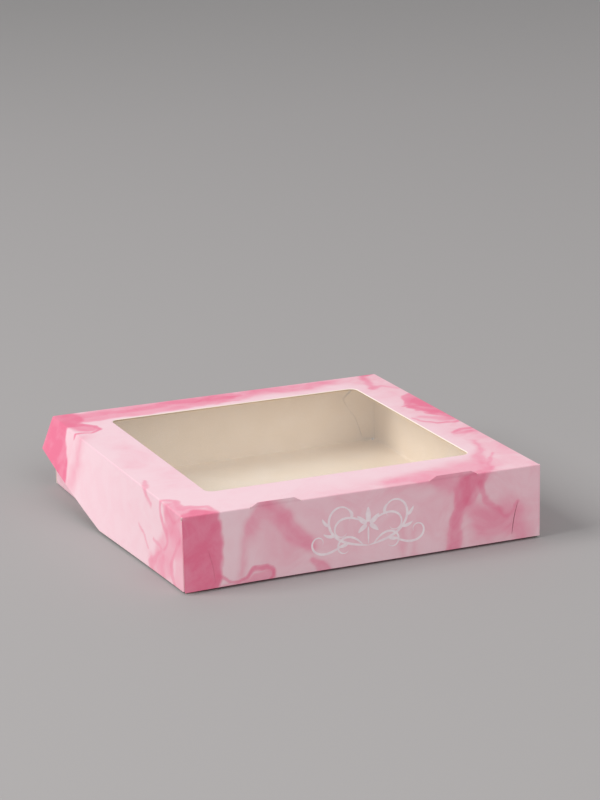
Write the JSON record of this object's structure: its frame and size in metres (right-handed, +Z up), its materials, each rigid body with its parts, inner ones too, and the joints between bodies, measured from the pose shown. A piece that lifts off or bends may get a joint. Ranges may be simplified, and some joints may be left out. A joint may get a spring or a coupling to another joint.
{
  "type": "window gift box",
  "caption": "Shallow square folding carton with a marbled print, a hinged lid with a clear window, and side, front and corner flaps that fold out.",
  "frame": {"origin": "centre of the closed box's footprint, on the underside of the tray", "axes": "+Z up, the front flap faces -Y, the lid's hinge is along X at the back (+Y)"},
  "size_m": [0.2077, 0.204, 0.0423],
  "materials": {
    "tray_board": "matte",
    "lid_board": "satin",
    "clear_film": "gloss",
    "clear_glue": "gloss"
  },
  "bodies": {
    "tray": {"tray_bottom": "tray_board", "tray_front_wall": "tray_board", "tray_back_wall": "tray_board", "tray_left_wall": "tray_board", "tray_right_wall": "tray_board", "tray_front_left_ear": "tray_board", "tray_front_right_ear": "tray_board", "tray_back_left_ear": "tray_board", "tray_back_right_ear": "tray_board"},
    "lid": {"lid_top": "lid_board", "window_film": "clear_film", "window_glue_line": "clear_glue"},
    "front_flap": {"lid_front_flap": "lid_board"},
    "left_flap": {"lid_left_flap": "lid_board"},
    "right_flap": {"lid_right_flap": "lid_board"},
    "left_ear": {"lid_left_ear": "lid_board"},
    "right_ear": {"lid_right_ear": "lid_board"}
  },
  "joints": [
    {"name": "lid_hinge", "type": "hinge", "parent": "tray", "child": "lid", "pos_m": [0, 0.102, 0.0403], "axis": [-1, 0, 0], "range_deg": [0, 189]},
    {"name": "front_flap_fold", "type": "hinge", "parent": "lid", "child": "front_flap", "pos_m": [0, -0.102, 0.0403], "axis": [-1, 0, 0], "range_deg": [0, 90]},
    {"name": "left_flap_fold", "type": "hinge", "parent": "lid", "child": "left_flap", "pos_m": [-0.1, 0, 0.0403], "axis": [0, 1, 0], "range_deg": [0, 90]},
    {"name": "right_flap_fold", "type": "hinge", "parent": "lid", "child": "right_flap", "pos_m": [0.1, 0, 0.0403], "axis": [0, -1, 0], "range_deg": [0, 90]},
    {"name": "left_ear_fold", "type": "hinge", "parent": "left_flap", "child": "left_ear", "pos_m": [-0.1, -0.10125, 0.02015], "axis": [0, 0, -1], "range_deg": [0, 90]},
    {"name": "right_ear_fold", "type": "hinge", "parent": "right_flap", "child": "right_ear", "pos_m": [0.1, -0.10125, 0.02015], "axis": [0, 0, 1], "range_deg": [0, 90]}
  ],
  "couplings": [
    {"joint": "left_ear_fold", "follows": "front_flap_fold", "ratio": 1},
    {"joint": "right_ear_fold", "follows": "front_flap_fold", "ratio": 1}
  ]
}
